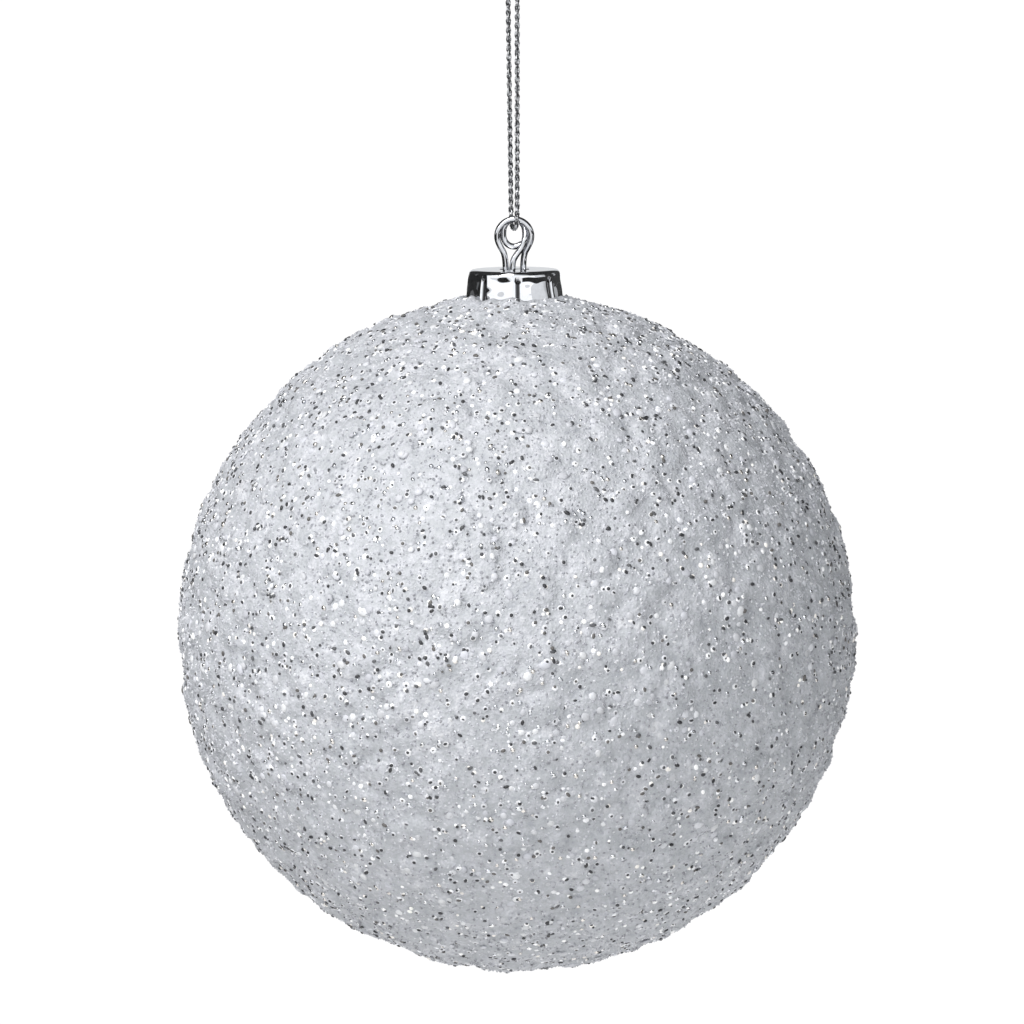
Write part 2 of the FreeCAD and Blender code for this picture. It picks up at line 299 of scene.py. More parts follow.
def thread(name, routes, materials):
    """Foil thread: two plies wound round each other, each of two bright strands and a black one whose
    black is painted shade for the gaps between the strands.
    """
    points, faces, gap_shade = [], [], []
    for route in routes:
        line, along = even_steps(spline_points(route), STRAND_STEP)
        for ply in range(PLIES):
            middle = helix(line, along, PLY_REACH, PLY_PITCH, 2 * math.pi * ply / PLIES)
            for strand in range(STRANDS):
                phase = 2 * math.pi * strand / STRANDS
                wound = helix(middle, along, STRAND_REACH, -STRAND_PITCH, phase)
                rings = tube_rings(wound, STRAND_RADIUS, STRAND_SIDES)
                more = tube_faces(len(wound), STRAND_SIDES, sum(len(p) for p in points))
                faces += more
                # the first strand of each ply is black: painted shade for the gaps between strands
                gap_shade += [strand == 0] * len(more)
                points.append(rings.reshape(-1, 3))
    thing = add_object(name, mesh_of(name, np.concatenate(points), faces), materials[0])
    thing.data.materials.append(materials[1])
    thing.data.polygons.foreach_set("material_index", np.array(gap_shade, np.int32))
    return thing


def foil_material(name, dark, pale, metallic):
    """Crinkled foil or plain thread, flecked between a dark and a pale colour."""
    material, tree, shader = new_material(name)
    flecks = noise_texture(tree, object_position(tree), 0.25 * MM, 2.0)
    tree.links.new(ramp(tree, flecks, [(0.42, dark), (0.58, pale)]), shader.inputs["Base Color"])
    tree.links.new(ramp(tree, flecks, [(0.3, 0.45), (0.7, 0.25)]), shader.inputs["Roughness"])
    shader.inputs["Metallic"].default_value = metallic
    tree.links.new(bump(tree, flecks, 0.03 * MM, 0.6), shader.inputs["Normal"])
    return material


# The nearly black thread colour is painted shade for the gaps in the cord.
FOIL = (foil_material("silver_foil", (0.14, 0.143, 0.15), (0.86, 0.87, 0.89), 0.8),
        foil_material("gap_shade_thread", (0.008, 0.008, 0.01), (0.03, 0.03, 0.034), 0.0))
cord = thread("cord_thread", [cord_route], FOIL)
PATH_STEP = 0.4 * MM
cord_path, _ = even_steps(spline_points(cord_route), PATH_STEP)

# The knot: both ends of the thread wrapped round themselves, then two cut tails.
knot_side = [
    across(38.9, 0.42, 1.3),
    across(70, 0.85, 1.6),
    across(120, 0.98, 1.95),
    across(175, 1.0, 2.3),
    across(235, 1.0, 2.7),
    across(295, 1.0, 3.1),
    across(355, 0.98, 3.5),
    across(410, 0.80, 3.85),
    across(430, 0.45, 4.15),
    across(420, 0.42, 4.5),
]
knot = thread("cord_knot_wraps", [knot_side, [opposite(p) for p in knot_side]], FOIL)
tail_long = [across(60, 0.43, 4.4), across(60, 0.43, 5.5), across(75, 1.0, 7.3), across(95, 1.9, 9.3)]
tail_short = [across(60, -0.43, 4.4), across(60, -0.43, 5.5), across(75, -1.0, 7.3),
              across(95, -1.9, 8.5)]
tails = thread("cord_tail_ends", [tail_long, tail_short], FOIL)

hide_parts("cord_loop")
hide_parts("cord_knot")
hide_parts("cord_tails")
for piece in (knot, tails):
    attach(piece, "hook_knot")
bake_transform(cord)


# ---------------------------------------------------------------- the bead coat

COAT_INNER = 48.95 * MM
OUTER_CUTS, INNER_CUTS = 124, 32
MOUTH_RADIUS = 7.6 * MM
MOUTH_ANGLE = math.asin(MOUTH_RADIUS / BALL_RADIUS)
rng = np.random.default_rng(7)


def directions(count, rng):
    """Random directions, spread evenly over a sphere."""
    z = rng.uniform(-1, 1, count)
    turn = rng.uniform(0, 2 * math.pi, count)
    flat = np.sqrt(1 - z * z)
    return np.stack([flat * np.cos(turn), flat * np.sin(turn), z], 1)


MOUNDS = 2300
mound_ways = directions(MOUNDS, rng)
mound_heights = rng.uniform(0.2, 0.8, MOUNDS) * MM
mound_sizes = rng.uniform(1.6, 2.8, MOUNDS) * MM
mound_tree = KDTree(MOUNDS)
for index, way in enumerate(mound_ways):
    mound_tree.insert(Vector(way) * BALL_RADIUS, index)
mound_tree.balance()
NEAREST_MOUNDS = 3
COAT_BASE = BALL_RADIUS - 0.68 * MM
LIP_HEIGHT, LIP_WIDTH, LIP_LUMPS = 0.75 * MM, 2.4 * MM, 2.5 * MM
LIP_EVEN, LIP_UNEVEN = 0.75, 0.8
SWELLS = ((0.10 * MM, 6 * MM), (0.06 * MM, 1.3 * MM))  # how high and how wide


def coat_radius(way):
    """How far the coat reaches from the ball's centre in a direction."""
    place = Vector(way) * BALL_RADIUS
    rise = 0.0
    for _, index, gap in mound_tree.find_n(place, NEAREST_MOUNDS):
        share = gap / mound_sizes[index]
        if share < 1:
            rise = max(rise, mound_heights[index] * math.sqrt(1 - share * share))
    reach_out = BALL_RADIUS * (math.acos(min(1, way[2])) - MOUTH_ANGLE)
    lip = max(0.0, 1 - reach_out / LIP_WIDTH)
    rise += LIP_HEIGHT * lip * lip * (LIP_EVEN + LIP_UNEVEN * noise.noise(place / LIP_LUMPS))
    for high, wide in SWELLS:
        rise += high * noise.noise(place / wide)
    return COAT_BASE + rise


def cube_sphere(cuts):
    """Directions and quads that cover a sphere evenly."""
    steps = np.tan(np.linspace(-math.pi / 4, math.pi / 4, cuts + 1))
    u, v = np.meshgrid(steps, steps, indexing="ij")
    one = np.ones_like(u)
    sides = [(u, v, one), (v, u, -one), (one, u, v), (-one, v, u), (v, one, u), (u, -one, v)]
    ways = np.concatenate([np.stack(s, -1).reshape(-1, 3) for s in sides])
    ways /= np.linalg.norm(ways, axis=1)[:, None]
    keys, inverse = np.unique(np.round(ways * 1e6).astype(np.int64), axis=0, return_inverse=True)
    inverse = inverse.reshape(-1)
    merged = np.zeros((len(keys), 3))
    merged[inverse] = ways
    index = np.arange((cuts + 1) ** 2).reshape(cuts + 1, cuts + 1)
    quads = np.stack([index[:-1, :-1], index[1:, :-1], index[1:, 1:], index[:-1, 1:]], -1)
    quads = quads.reshape(-1, 4)
    faces = np.concatenate([quads + k * (cuts + 1) ** 2 for k in range(6)])
    return merged, inverse[faces]


def open_mouth(ways, faces):
    """Takes the faces round the top away and draws the edge that is left into a circle."""
    polar = np.arccos(np.clip(ways[:, 2], -1, 1))
    keep = (polar[faces] > MOUTH_ANGLE).all(axis=1)
    faces = faces[keep]
    used = np.unique(faces)
    edges = np.sort(np.concatenate([faces[:, [k, (k + 1) % 4]] for k in range(4)]), axis=1)
    pairs, counts = np.unique(edges, axis=0, return_counts=True)
    rim = np.unique(pairs[counts == 1])
    flat = np.linalg.norm(ways[rim, :2], axis=1)
    ways = ways.copy()
    ways[rim, :2] *= (math.sin(MOUTH_ANGLE) / flat)[:, None]
    ways[rim, 2] = math.cos(MOUTH_ANGLE)
    renumber = np.full(len(ways), -1)
    renumber[used] = np.arange(len(used))
    return ways[used], renumber[faces]


def make_coat(material):
    """The lumpy outer face of the coat, its smooth inner face and the lip that joins them."""
    outer, outer_faces = open_mouth(*cube_sphere(OUTER_CUTS))
    inner, inner_faces = open_mouth(*cube_sphere(INNER_CUTS))
    reach = np.array([coat_radius(way) for way in outer])
    points = np.concatenate([outer * reach[:, None], inner * COAT_INNER]) + np.array(BALL)
    faces = [tuple(f) for f in outer_faces.tolist()]
    faces += [tuple(reversed([k + len(outer) for k in f])) for f in inner_faces.tolist()]
    mesh = mesh_of("bead_coat_shell", points, faces)
    work = bmesh.new()
    work.from_mesh(mesh)
    rim = [e for e in work.edges if e.is_boundary]
    bmesh.ops.bridge_loops(work, edges=rim)
    bmesh.ops.recalc_face_normals(work, faces=work.faces)
    work.to_mesh(mesh)
    work.free()
    return add_object("bead_coat_shell", mesh, material)


def coat_material():
    """Pale satin grit, mottled cool grey and faintly green."""
    material, tree, shader = new_material("bead_coat_base")
    place = object_position(tree)
    patches = noise_texture(tree, place, 4.5 * MM, 3.0, 0.6)
    spots = noise_texture(tree, place, 1.0 * MM, 2.0, 0.5)
    fine = noise_texture(tree, place, 0.32 * MM, 2.0)
    grain = grains_texture(tree, place, 0.45 * MM)
    mixed = math_node(tree, "ADD", math_node(tree, "MULTIPLY", patches, 0.35),
                      math_node(tree, "MULTIPLY", spots, 0.4))
    mixed = math_node(tree, "ADD", mixed, math_node(tree, "MULTIPLY", fine, 0.25))
    colour = ramp(tree, mixed, [(0.38, (0.36, 0.375, 0.41)), (0.47, (0.42, 0.437, 0.459)),
                                (0.54, (0.463, 0.475, 0.512)), (0.63, (0.585, 0.595, 0.62))])
    tree.links.new(colour, shader.inputs["Base Color"])
    tree.links.new(ramp(tree, fine, [(0.3, 0.42), (0.7, 0.6)]), shader.inputs["Roughness"])
    rough = bump(tree, grain, 0.14 * MM, 0.7)
    rough = bump(tree, spots, 0.35 * MM, 0.6, rough)
    tree.links.new(bump(tree, fine, 0.08 * MM, 0.6, rough), shader.inputs["Normal"])
    return material


def bead_material(name, metallic, roughness, coat):
    """Each bead's colour comes from the mesh: its own tone, and for the dark, white and ringed beads
    painted reflection and painted highlight; fine noise breaks its gloss.
    """
    material, tree, shader = new_material(name)
    shade = node(tree, "ShaderNodeVertexColor", {"layer_name": "shade"}).outputs["Color"]
    tree.links.new(shade, shader.inputs["Base Color"])
    flecks = noise_texture(tree, object_position(tree), 0.25 * MM, 2.0)
    low, high = roughness
    tree.links.new(ramp(tree, flecks, [(0.3, low), (0.7, high)]), shader.inputs["Roughness"])
    shader.inputs["Metallic"].default_value = metallic
    shader.inputs["Coat Weight"].default_value = coat
    shader.inputs["Coat Roughness"].default_value = 0.04
    return material


DOME_RINGS = (35, 70, 108)  # degrees down from the crown
DOME_SIDES, GRAIN_SIDES = 7, 5


def dome_template():
    """A little pebble: a crown point, rings down its side and a flat foot."""
    points = [(0, 0, 1)]
    for ring in DOME_RINGS:
        polar = math.radians(ring)
        for k in range(DOME_SIDES):
            turn = 2 * math.pi * k / DOME_SIDES
            points.append((math.sin(polar) * math.cos(turn), math.sin(polar) * math.sin(turn),
                           math.cos(polar)))
    faces = [(0, 1 + k, 1 + (k + 1) % DOME_SIDES) for k in range(DOME_SIDES)]
    for ring in range(len(DOME_RINGS) - 1):
        base = 1 + ring * DOME_SIDES
        for k in range(DOME_SIDES):
            a, b = base + k, base + (k + 1) % DOME_SIDES
            faces.append((a, a + DOME_SIDES, b + DOME_SIDES, b))
    foot = 1 + (len(DOME_RINGS) - 1) * DOME_SIDES
    faces.append(tuple(foot + k for k in reversed(range(DOME_SIDES))))
    return np.array(points, float), faces


def grain_template():
    """A crystal: a point off its middle, sharp sides and a flat foot below the surface."""
    points = [(0.2, 0.1, 1)]
    for k in range(GRAIN_SIDES):
        turn = 2 * math.pi * k / GRAIN_SIDES
        points.append((math.cos(turn), math.sin(turn), -0.4))
    faces = [(0, 1 + k, 1 + (k + 1) % GRAIN_SIDES) for k in range(GRAIN_SIDES)]
    faces.append(tuple(range(GRAIN_SIDES, 0, -1)))
    return np.array(points, float), faces


SPARE_WAYS, MOUTH_MARGIN = 1.1, 0.006


def bead_ways(count, seed):
    """Directions for beads, all outside the coat's mouth."""
    ways = directions(int(count * SPARE_WAYS), np.random.default_rng(seed))
    return ways[np.arccos(ways[:, 2]) > MOUTH_ANGLE + MOUTH_MARGIN][:count]


def beside(ways, gap, seed):
    """Directions a small step away from others, each to a side of its own."""
    side = np.cross(ways, directions(len(ways), np.random.default_rng(seed)))
    side /= np.linalg.norm(side, axis=1)[:, None]
    moved = ways + side * gap / BALL_RADIUS
    return moved / np.linalg.norm(moved, axis=1)[:, None]


def scatter(name, ways, radii, stretch, height, sink, shades, material, seed, grains=False):
    """Beads set into the coat. radii are the least and greatest half width in millimetres,
    stretch how long the longest is for its width, height and sink are shares of the half
    width. Each bead's shade is one of shades, a little darker or lighter."""
    rng = np.random.default_rng(seed)
    count = len(ways)
    reach = np.array([coat_radius(way) for way in ways])
    size = rng.uniform(radii[0], radii[1], count) * MM
    longer = 1 + (stretch - 1) * rng.uniform(0, 1, count) ** 3
    spare = directions(count, rng)
    first = np.cross(ways, spare)
    first /= np.linalg.norm(first, axis=1)[:, None]
    second = np.cross(ways, first)
    template, faces = grain_template() if grains else dome_template()
    rise = size * rng.uniform(height[0], height[1], count)
    points = (
        (ways * (reach - size * sink)[:, None])[:, None, :]
        + template[None, :, 0, None] * (first * (size * longer)[:, None])[:, None, :]
        + template[None, :, 1, None] * (second * size[:, None])[:, None, :]
        + template[None, :, 2, None] * (ways * rise[:, None])[:, None, :]
    ).reshape(-1, 3) + np.array(BALL)
    all_faces = [tuple(k + i * len(template) for k in f) for i in range(count) for f in faces]
    mesh = mesh_of(name, points, all_faces)
    shades = np.array(shades, float)
    pick = rng.integers(0, len(shades), count)
    tone = shades[pick] * rng.uniform(0.85, 1.15, (count, 1))
    colours = np.concatenate([np.clip(tone, 0, 1), np.ones((count, 1))], 1)
    layer = mesh.color_attributes.new("shade", "FLOAT_COLOR", "POINT")
    layer.data.foreach_set("color", np.repeat(colours, len(template), 0).astype(np.float32).ravel())
    return add_object(name, mesh, material, smooth=not grains)


COAT = coat_material()
coat = make_coat(COAT)
mirror = bead_material("mirror_beads", 1.0, (0.12, 0.26), 0.0)
pearl = bead_material("pearl_beads", 0.0, (0.35, 0.55), 0.0)
# The white beads' colour is painted highlight, bright glints of the light.
white = bead_material("painted_highlight_beads", 0.0, (0.2, 0.4), 0.2)
# The dark beads' colour is painted reflection of the dark room in clear beads.
dark_reflection = bead_material("dark_reflection_beads", 0.0, (0.25, 0.4), 0.0)
grit = bead_material("crystal_grit", 0.0, (0.3, 0.5), 0.0)
SILVERS = [(0.80, 0.82, 0.85), (0.74, 0.76, 0.80), (0.86, 0.87, 0.88), (0.84, 0.81, 0.77)]
PEARLS = [(0.52, 0.53, 0.565), (0.56, 0.57, 0.60), (0.49, 0.50, 0.54), (0.64, 0.65, 0.67)]
# Paler bead colours under the dark dots: painted bright reflection round each dot.
HALO_REFLECTIONS = [(0.66, 0.67, 0.70), (0.60, 0.61, 0.64), (0.76, 0.77, 0.79), (0.55, 0.56, 0.59)]
# Near-white bead colours: painted highlights.
PAINTED_HIGHLIGHTS = [(0.94, 0.95, 0.97), (0.97, 0.975, 0.99), (0.86, 0.87, 0.90), (0.94, 0.91, 0.87)]
# Nearly black bead colours: painted dark reflections.
PAINTED_DARK_REFLECTIONS = [(0.035, 0.036, 0.04), (0.06, 0.062, 0.068), (0.10, 0.103, 0.11), (0.035, 0.036, 0.04),
          (0.12, 0.115, 0.11)]
GRITS = [(0.36, 0.37, 0.405), (0.44, 0.45, 0.485), (0.51, 0.52, 0.555), (0.60, 0.61, 0.635),
         (0.30, 0.305, 0.33)]

# The dark dots are painted reflections, laid thicker towards the upper left where the light falls. The
# first of them sit on a paler bead, a painted bright reflection that shows as a ring round the dot, and
# the next ones have a white bead at their side as a painted highlight.
DOT_LEAN, DOT_SHARE, DOT_CHANGE = np.array((-0.55, -0.35, 0.75)), 0.72, 0.27
RINGED_DOTS, FLANKED_DOTS, FLANK_GAP = 2600, 1300, 0.24 * MM
dot_ways = bead_ways(6400, 14)
dot_chance = DOT_SHARE + DOT_CHANGE * (dot_ways @ DOT_LEAN)
dot_ways = dot_ways[np.random.default_rng(5).uniform(0, 1, len(dot_ways)) < dot_chance]
ringed, flanked = dot_ways[:RINGED_DOTS], dot_ways[RINGED_DOTS:RINGED_DOTS + FLANKED_DOTS]
highlight_ways = np.concatenate([bead_ways(1100, 13), beside(flanked, FLANK_GAP, 19)])
beads = [
    # painted reflection: paler beads whose tone is the bright ring round each dark dot
    scatter("halo_reflection_beads", ringed, (0.36, 0.58), 1.4, (0.3, 0.5), 0.1, HALO_REFLECTIONS, pearl, 11),
    scatter("pearl_beads", bead_ways(1500, 16), (0.4, 0.75), 1.6, (0.3, 0.5), 0.1, PEARLS, pearl, 17),
    scatter("mirror_beads", bead_ways(2000, 12), (0.26, 0.42), 1.5, (0.6, 0.9), 0.2, SILVERS, mirror, 12),
    # painted highlight: white beads that stand in for glints of the light
    scatter("painted_highlight_beads", highlight_ways, (0.26, 0.44), 1.4, (0.5, 0.8), 0.2, PAINTED_HIGHLIGHTS, white, 13),
    # painted reflection: dark dots that stand in for the dark room seen in clear beads
    scatter("dark_reflection_beads", dot_ways, (0.18, 0.31), 1.9, (0.5, 0.8), -0.35, PAINTED_DARK_REFLECTIONS, dark_reflection, 15),
]
for part in range(3):
    beads.append(scatter(f"crystal_grit_{part + 1}", bead_ways(18000, 21 + part), (0.16, 0.32), 1.4,
                         (0.45, 1.0), 0.0, GRITS, grit, 31 + part, grains=True))
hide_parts("bead_coat")
for piece in [coat, *beads]:
    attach(piece, "ball")


# ---------------------------------------------------------------- chrome parts

def chrome_material(name, tone, roughness, edge, ripple, shaded_folds=False):
    """Bright plating with faint smears. edge is its tint at a glancing angle; with the last flag set it
    carries painted shade, dark down the cap's folds where the mesh says so."""
    material, tree, shader = new_material(name)
    place = object_position(tree)
    smears = noise_texture(tree, place, 1.4 * MM, 4.0, 0.6)
    dark = tuple(c * 0.9 for c in tone)
    colour = ramp(tree, smears, [(0.35, dark), (0.6, tone)])
    if shaded_folds:
        # painted shade: the mesh's fold marks darken the plating down each crease
        painted_fold_shade = node(tree, "ShaderNodeVertexColor", {"layer_name": "painted_fold_shade"}).outputs["Color"]
        fold_shade_factor = ramp(tree, painted_fold_shade, [(0.25, 1.0), (0.75, 0.06)])
        mixed = node(tree, "ShaderNodeMixRGB", {"blend_type": "MULTIPLY"}, Fac=1.0)
        tree.links.new(colour, mixed.inputs["Color1"])
        tree.links.new(fold_shade_factor, mixed.inputs["Color2"])
        colour = mixed.outputs["Color"]
    tree.links.new(colour, shader.inputs["Base Color"])
    low, high = roughness
    tree.links.new(ramp(tree, smears, [(0.35, high), (0.65, low)]), shader.inputs["Roughness"])
    shader.inputs["Metallic"].default_value = 1.0
    shader.inputs["Specular Tint"].default_value = (edge, edge, edge, 1)
    tree.links.new(bump(tree, smears, 0.02 * MM, ripple), shader.inputs["Normal"])
    return material


CAP_TALL = CAP_HIGH.z - CAP_LOW.z
CAP_BASE, CAP_TOP = (CAP_HIGH.x - CAP_LOW.x) / 2, 6.62 * MM
CAP_METAL, CAP_EDGE, SLOT_BEVEL = 0.35 * MM, 0.7 * MM, 0.04 * MM
SLOT_LONG, SLOT_WIDE, SLOT_SQUARENESS = 2.15 * MM, 1.15 * MM, 8
FOLDS, FIRST_FOLD = 8, math.radians(4)
FOLD_DEPTH, FOLD_WIDTH, FOLD_START, FLAT = 0.42 * MM, 0.29 * MM, 1.1 * MM, 0.12 * MM
DENT_DEPTH, DENTS_ACROSS = 0.16 * MM, 3.4
CAP_SEGMENTS, EDGE_STEPS, SKIRT_STEPS = 288, 8, 16
TOP_RINGS = (0.55, 0.7, 0.85, 0.97)


def cap_profile():
    """The closed outline of the cap's metal as (radius, height, share of the fold's depth).
    A radius of 0 or less is measured out from the edge of the slot."""
    slope = (CAP_BASE - CAP_TOP) / CAP_TALL
    lean = math.atan(slope)
    edge_z = CAP_TALL - CAP_EDGE
    edge_r = CAP_BASE - slope * edge_z - CAP_EDGE / math.cos(lean)
    outer = [(0, CAP_TALL, 0), (-SLOT_BEVEL, CAP_TALL, 0)]
    outer += [(edge_r * share, CAP_TALL, 0) for share in TOP_RINGS]
    for k in range(EDGE_STEPS + 1):
        angle = math.pi / 2 + (lean - math.pi / 2) * k / EDGE_STEPS
        outer.append((edge_r + CAP_EDGE * math.cos(angle), edge_z + CAP_EDGE * math.sin(angle), 0))
    low_z = outer[-1][1]
    for k in range(1, SKIRT_STEPS + 1):
        z = low_z * (1 - k / SKIRT_STEPS)
        share = min(1.0, (low_z - z) / FOLD_START)
        outer.append((CAP_BASE - slope * z, z, share * share * (3 - 2 * share)))
    inner = [(r - CAP_METAL, z, share) for r, z, share in reversed(outer) if z < edge_z]
    inner += [(r, CAP_TALL - CAP_METAL, 0) for r in (edge_r, 0.8 * edge_r, -SLOT_BEVEL, 0)]
    return outer + inner


def slot_reach(turn):
    """How far the edge of the slot is from the cap's axis; the slot's corners are rounded."""
    long_part = (abs(math.cos(turn)) / SLOT_LONG) ** SLOT_SQUARENESS
    wide_part = (abs(math.sin(turn)) / SLOT_WIDE) ** SLOT_SQUARENESS
    return (long_part + wide_part) ** (-1 / SLOT_SQUARENESS)


def make_cap(material):
    """The pressed cap with its slot, rolled edge and the pinched folds down its skirt, with painted shade
    laid along each fold's crease.
    """
    profile = cap_profile()
    points, painted_fold_shade = [], []
    for k in range(CAP_SEGMENTS):
        turn = 2 * math.pi * k / CAP_SEGMENTS
        slot = slot_reach(turn)
        panel = ((turn - FIRST_FOLD) / (2 * math.pi) * FOLDS) % 1
        gap = min(panel, 1 - panel) * 2 * math.pi / FOLDS * CAP_BASE
        pinch = 1 / (1 + (gap / FOLD_WIDTH) ** 4)
        fold = FOLD_DEPTH * pinch + FLAT * 4 * panel * (1 - panel)
        for radius, height, share in profile:
            place = Vector((math.cos(turn), math.sin(turn), height / CAP_BASE))
            dent = fold + DENT_DEPTH * noise.noise(place * DENTS_ACROSS)
            reach = max(radius - share * dent, slot) if radius > 0 else slot - radius
            # painted shade: strongest in the middle of each fold, where the crease is deepest
            painted_fold_shade.append(share * pinch)
            points.append((reach * math.cos(turn), reach * math.sin(turn), CAP_LOW.z + height))
    rings = len(profile)
    faces = []
    for k in range(CAP_SEGMENTS):
        here, there = k * rings, (k + 1) % CAP_SEGMENTS * rings
        for j in range(rings):
            nxt = (j + 1) % rings
            faces.append((here + j, here + nxt, there + nxt, there + j))
    mesh = mesh_of("pressed_cap", points, faces)
    # the fold marks that carry the painted shade into the cap's colour
    layer = mesh.color_attributes.new("painted_fold_shade", "FLOAT_COLOR", "POINT")
    tones = np.ones((len(points), 4), np.float32)
    tones[:, :3] = np.array(painted_fold_shade)[:, None]
    layer.data.foreach_set("color", tones.ravel())
    return add_object("pressed_cap", mesh, material)


def glass_material():
    """Clear blown glass with faint streaks."""
    material, tree, shader = new_material("blown_glass")
    streaks = noise_texture(tree, object_position(tree), 9 * MM, 3.0)
    tree.links.new(ramp(tree, streaks, [(0.3, (0.93, 0.96, 0.96)), (0.7, (0.98, 0.99, 1.0))]),
                   shader.inputs["Base Color"])
    tree.links.new(ramp(tree, streaks, [(0.3, 0.02), (0.7, 0.06)]), shader.inputs["Roughness"])
    shader.inputs["Transmission Weight"].default_value = 1.0
    shader.inputs["IOR"].default_value = 1.5
    return material


def silvering_material():
    """The mirror film inside the glass, a little uneven."""
    material, tree, shader = new_material("mirror_silvering")
    streaks = noise_texture(tree, object_position(tree), 12 * MM, 4.0)
    tree.links.new(ramp(tree, streaks, [(0.3, (0.82, 0.83, 0.85)), (0.7, (0.92, 0.93, 0.95))]),
                   shader.inputs["Base Color"])
    tree.links.new(ramp(tree, streaks, [(0.3, 0.12), (0.7, 0.05)]), shader.inputs["Roughness"])
    shader.inputs["Metallic"].default_value = 1.0
    return material


def paint(name, material):
    """Gives a CAD node its material."""
    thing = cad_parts[name]
    if not thing.material_slots:
        thing.data.materials.append(material)
    for slot in thing.material_slots:
        slot.material = material


CHROME_WIRE = chrome_material("polished_wire", (0.72, 0.73, 0.76), (0.05, 0.12), 0.10, 0.35)
# The cap's plating carries painted shade in its folds.
CHROME_CAP = chrome_material("pressed_cap_chrome", (0.86, 0.87, 0.90), (0.025, 0.05), 0.9, 0.08, True)
WIRE_RADIUS, WIRE_STEP, WIRE_SIDES = 0.45 * MM, 0.12 * MM, 28
EYE_HEIGHT = BALL.z + 58.5 * MM

# The eye's own measures are in millimetres from its centre; NEAR and FAR are its two layers.
NEAR, FAR = -0.46, 0.46
OUTER_TURN, INNER_TURN = 2.5, 1.58
SHANK, WAIST, SHANK_FOOT = 1.28, -2.85, -5.3
OUTER_STEP, INNER_STEP = 25, 30


def turn_point(radius, degrees, depth):
    """A point in millimetres from the eye's centre, seen from the front; 0 degrees is the right."""
    angle = math.radians(degrees)
    return radius * math.cos(angle), depth, radius * math.sin(angle)


def wire(name, corners, material):
    """A round wire along a smooth line that has the corners as its control points."""
    route = [Vector(c) * MM + Vector((0, 0, EYE_HEIGHT)) for c in corners]
    line, _ = even_steps(spline_points(route), WIRE_STEP)
    rings = tube_rings(line, WIRE_RADIUS, WIRE_SIDES)
    mesh = mesh_of(name, rings.reshape(-1, 3), tube_faces(len(line), WIRE_SIDES, 0))
    return add_object(name, mesh, material)


def outer_wire():
    """Up the left shank in front, over the top and down the right one behind."""
    corners = [(-SHANK, NEAR, SHANK_FOOT), (-SHANK, NEAR, WAIST)]
    out = OUTER_TURN / math.cos(math.radians(OUTER_STEP / 2))
    for angle in range(215, -36, -OUTER_STEP):
        lean = max(0, 15 - angle) / 90
        corners.append(turn_point(out, angle, NEAR + (FAR - NEAR) * lean))
    return corners + [(SHANK, FAR, WAIST), (SHANK, FAR, SHANK_FOOT)]


def inner_wire():
    """A tail that slants up in front, then a turn that passes behind and closes on itself."""
    corners = [(-0.34, NEAR, -5.9), (-0.34, NEAR, -3.9), (0.2, NEAR, WAIST), (1.2, NEAR, -1.6)]
    for angle in range(-15, 316, INNER_STEP):
        lift = max(0.0, math.sin(math.radians(angle))) ** 2
        back = min(1.0, (angle + 15) / 60)
        out = (INNER_TURN + (OUTER_TURN - INNER_TURN) * lift) / math.cos(math.radians(INNER_STEP / 2))
        corners.append(turn_point(out, angle, NEAR + (FAR - NEAR) * back))
    return corners


eye = [wire("eye_outer_turn", outer_wire(), CHROME_WIRE),
       wire("eye_inner_turn", inner_wire(), CHROME_WIRE)]
for piece, source in zip(eye, ("wire_eye", "eye_inner_wire")):
    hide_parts(source)
    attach(piece, "hanger")
paint("spring_leg_left", CHROME_WIRE)
paint("spring_leg_right", CHROME_WIRE)
cap = make_cap(CHROME_CAP)
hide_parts("cap")
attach(cap, "cap")
paint("glass_ball", glass_material())
paint("silvering", silvering_material())


# ---------------------------------------------------------------- studio

FLOOR_HEIGHT = cad_low.z - 0.17
ROOM_LEVEL, BACKDROP = 0.82, 1.1
CARD_STEPS = 16


def make_floor():
    """A wide pale floor under the hanging ball."""
    half = 30.0
    corners = [(-half, -half), (half, -half), (half, half), (-half, half)]
    mesh = mesh_of("studio_floor", [(x, y, FLOOR_HEIGHT) for x, y in corners], [(0, 1, 2, 3)])
    material, tree, shader = new_material("pale_floor")
    speckle = noise_texture(tree, object_position(tree), 0.4, 2.0)
    tree.links.new(ramp(tree, speckle, [(0.3, (0.84, 0.84, 0.84)), (0.7, (0.86, 0.86, 0.86))]),
                   shader.inputs["Base Color"])
    shader.inputs["Roughness"].default_value = 0.9
    shader.inputs["Specular IOR Level"].default_value = 0.0
    add_object("studio_floor", mesh, material, smooth=False)


def way_of(azimuth, elevation):
    """A direction in the room; azimuth 0 is the front and 90 the right."""
    a, e = math.radians(azimuth), math.radians(elevation)
    return Vector((math.sin(a) * math.cos(e), -math.cos(a) * math.cos(e), math.sin(e)))


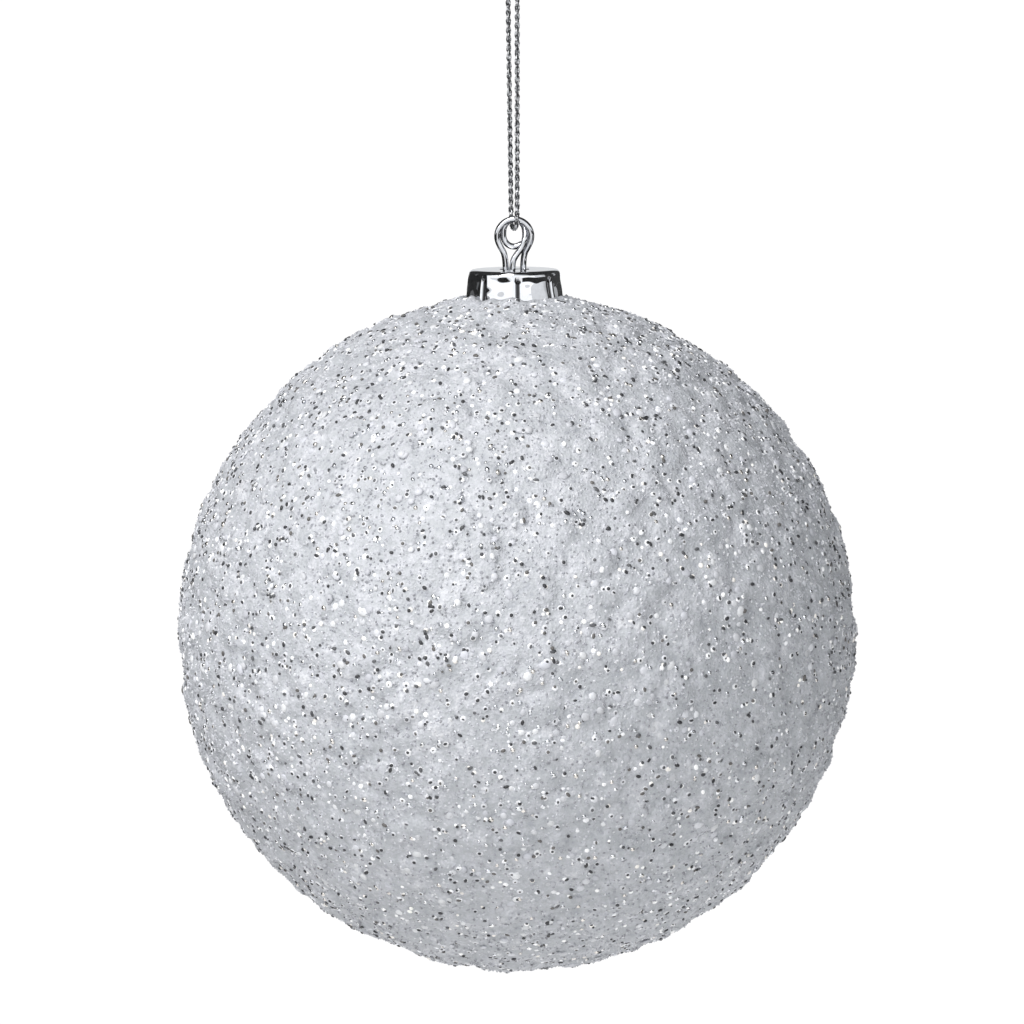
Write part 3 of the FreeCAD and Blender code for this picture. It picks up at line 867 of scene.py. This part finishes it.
def make_world(patches):
    """A soft room: one level of light with round patches that change it, and a white backdrop.
    A patch is its azimuth, elevation, the angles where it is full and where it ends, and how
    much light it adds."""
    world = bpy.data.worlds.new("soft_room")
    world.use_nodes = True
    scene.world = world
    tree = world.node_tree
    background = tree.nodes["Background"]
    direction = node(tree, "ShaderNodeTexCoord").outputs["Generated"]
    total = None
    for azimuth, elevation, inner, outer, change in patches:
        facing = node(tree, "ShaderNodeVectorMath", {"operation": "DOT_PRODUCT"})
        tree.links.new(direction, facing.inputs[0])
        facing.inputs[1].default_value = way_of(azimuth, elevation)
        spread = node(tree, "ShaderNodeMapRange", {"interpolation_type": "SMOOTHSTEP"},
                      Value=facing.outputs["Value"])
        spread.inputs["From Min"].default_value = math.cos(math.radians(outer))
        spread.inputs["From Max"].default_value = math.cos(math.radians(inner))
        share = math_node(tree, "MULTIPLY", spread.outputs["Result"], change)
        total = share if total is None else math_node(tree, "ADD", total, share)
    light = math_node(tree, "MAXIMUM", math_node(tree, "ADD", total, ROOM_LEVEL), 0.01)
    camera_ray = node(tree, "ShaderNodeLightPath").outputs["Is Camera Ray"]
    backdrop = math_node(tree, "MULTIPLY", camera_ray, BACKDROP)
    tree.links.new(math_node(tree, "MAXIMUM", light, backdrop), background.inputs["Strength"])
    background.inputs["Color"].default_value = (0.96, 0.98, 1.0, 1)


def make_sun(azimuth, elevation, strength, spread, colour):
    """The key light, a broad soft source."""
    data = bpy.data.lights.new("key_sun", "SUN")
    data.energy = strength
    data.angle = math.radians(spread)
    data.color = colour
    sun = bpy.data.objects.new("key_sun", data)
    scene.collection.objects.link(sun)
    sun.rotation_mode = "QUATERNION"
    sun.rotation_quaternion = way_of(azimuth, elevation).to_track_quat("Z", "Y")


def make_card(name, azimuths, ends, dims=False, glow=0.0):
    """A curved card round the ball that shows in its reflections: a dark one edges them, and
    one with a glow fills them. It is out of the camera's sight, and takes soft light from
    the ball only if dims is set. ends are the distance and the rise above the cap of the
    card's two long edges."""
    points = []
    for k in range(CARD_STEPS + 1):
        azimuth = azimuths[0] + (azimuths[1] - azimuths[0]) * k / CARD_STEPS
        for distance, rise in ends:
            points.append(way_of(azimuth, 0) * distance + Vector((0, 0, CAP_HIGH.z + rise)))
    faces = [(2 * k, 2 * k + 2, 2 * k + 3, 2 * k + 1) for k in range(CARD_STEPS)]
    material, tree, shader = new_material(name + "_cloth")
    weave = noise_texture(tree, object_position(tree), 0.05, 2.0)
    tree.links.new(ramp(tree, weave, [(0.3, 0.032), (0.7, 0.04)]), shader.inputs["Base Color"])
    shader.inputs["Roughness"].default_value = 0.9
    shader.inputs["Specular IOR Level"].default_value = 0.0
    shader.inputs["Emission Color"].default_value = (0.97, 0.985, 1.0, 1)
    shader.inputs["Emission Strength"].default_value = glow
    card = add_object(name, mesh_of(name, points, faces), material, smooth=False)
    card.visible_camera = card.visible_shadow = False
    card.visible_diffuse = dims


make_floor()
make_world([
    (108, 24, 18, 42, -0.4),
    (-112, 18, 22, 48, -0.7),
    (180, 42, 15, 32, -0.6),
    (0, 88, 12, 34, -0.6),
    (62, 58, 14, 40, -0.7),
    (0, 14, 12, 26, 0.35),
])
make_card("low_card_right", (21, 165), ((1.0, -0.23), (1.0, 0.06)))
make_card("low_card_left", (-165, -21), ((1.0, -0.23), (1.0, 0.06)))
make_card("side_card_left", (-165, -60), ((0.5, -0.2), (0.5, -0.01)), dims=True)
for name, azimuths in (("right_front", (84, 117)), ("right_back", (126, 165)),
                       ("left_front", (-112, -78)), ("left_back", (-165, -121))):
    make_card("high_card_" + name, azimuths, ((1.1, 0.067), (1.1, 0.49)))
make_card("bright_card_left", (-74, -8), ((1.1, 0.11), (1.1, 0.38)), glow=1.25)
make_card("bright_card_right", (12, 52), ((1.1, 0.11), (1.1, 0.38)), glow=1.25)
make_card("upper_card", (40, 320), ((1.1, 0.49), (0.3, 1.3)))
make_card("floor_card", (40, 320), ((0.35, -0.268), (1.0, -0.268)))
make_sun(-45, 48, 3.5, 55, (1.0, 0.99, 0.98))
